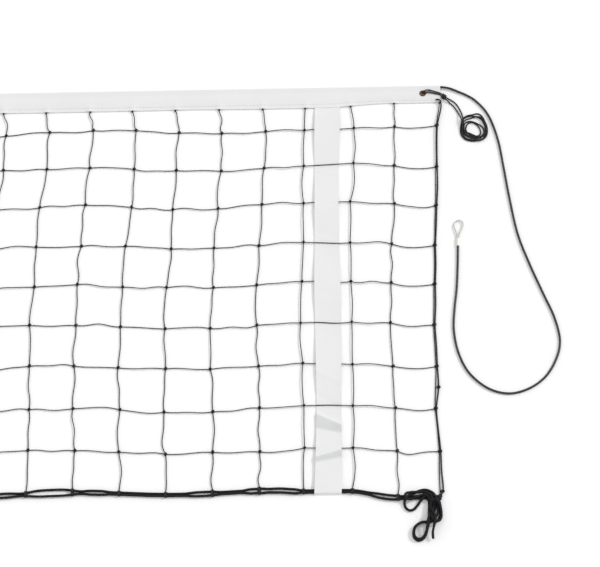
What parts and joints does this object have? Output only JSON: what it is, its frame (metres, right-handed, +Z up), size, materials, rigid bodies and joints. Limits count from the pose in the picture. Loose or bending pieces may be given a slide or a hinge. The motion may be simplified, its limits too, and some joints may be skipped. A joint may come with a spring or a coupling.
{
  "type": "volleyball net",
  "caption": "Full-size square-mesh volleyball net with a folded top band on a steel head cable, woven marker tapes, eyelets, tie cords and a braided bottom rope.",
  "frame": {"origin": "middle of the net on the plane it lies on, under the centre of its length and height", "axes": "+X along the net towards its right-hand end, +Y from the bottom rope to the top band, +Z up from the plane the net lies on"},
  "size_m": [9.9609, 1.127, 0.0141],
  "materials": {
    "band_cloth": "PVC-coated cloth, satin",
    "marker_tape": "woven tape, matte",
    "netting_twine": "knotted black twine",
    "tie_cord": "black cord",
    "braided_rope": "braided black rope",
    "cable_coating": "PVC coating over steel wire rope",
    "bare_wire": "laid steel wire",
    "ferrule_alloy": "pressed, satin",
    "eyelet_brass": "aged brass"
  },
  "bodies": {
    "net": {"top_band": "band_cloth", "netting_right_half": "netting_twine", "netting_left_half": "netting_twine", "edge_cord_right": "netting_twine", "edge_cord_left": "netting_twine", "bottom_line": "netting_twine", "bottom_rope": "braided_rope", "rope_lead_right": "braided_rope", "rope_lead_left": "braided_rope", "rope_hank_right": "braided_rope", "rope_hank_left": "braided_rope", "rope_loop_right": "braided_rope", "rope_loop_left": "braided_rope", "eyelet_flange_right": "eyelet_brass", "eyelet_flange_left": "eyelet_brass", "eyelet_washer_right": "eyelet_brass", "eyelet_washer_left": "eyelet_brass", "tie_strand_right_1": "tie_cord", "tie_strand_right_2": "tie_cord", "tie_strand_left_1": "tie_cord", "tie_strand_left_2": "tie_cord", "tie_tail_right_1": "tie_cord", "tie_tail_right_2": "tie_cord", "tie_tail_left_1": "tie_cord", "tie_tail_left_2": "tie_cord", "tie_knot_right": "tie_cord", "tie_knot_left": "tie_cord", "tie_coil_right": "tie_cord", "tie_coil_left": "tie_cord"},
    "head_cable": {"head_cable": "cable_coating", "cable_tail_right": "cable_coating", "ferrule_right": "ferrule_alloy", "wire_eye_right": "bare_wire", "cable_tail_left": "cable_coating", "cable_coil_left": "cable_coating", "cable_end_left": "cable_coating", "ferrule_left": "ferrule_alloy", "wire_eye_left": "bare_wire"},
    "marker_tape_right": {"marker_tape_right": "marker_tape"},
    "marker_tape_left": {"marker_tape_left": "marker_tape"}
  },
  "joints": [
    {"name": "head_cable_slide", "type": "slide", "parent": "net", "child": "head_cable", "axis": [1, 0, 0], "range_m": [-0.004, 0.025]},
    {"name": "marker_tape_right_slide", "type": "slide", "parent": "net", "child": "marker_tape_right", "axis": [1, 0, 0], "range_m": [-0.018, 0.018]},
    {"name": "marker_tape_left_slide", "type": "slide", "parent": "net", "child": "marker_tape_left", "axis": [1, 0, 0], "range_m": [-0.018, 0.018]}
  ]
}
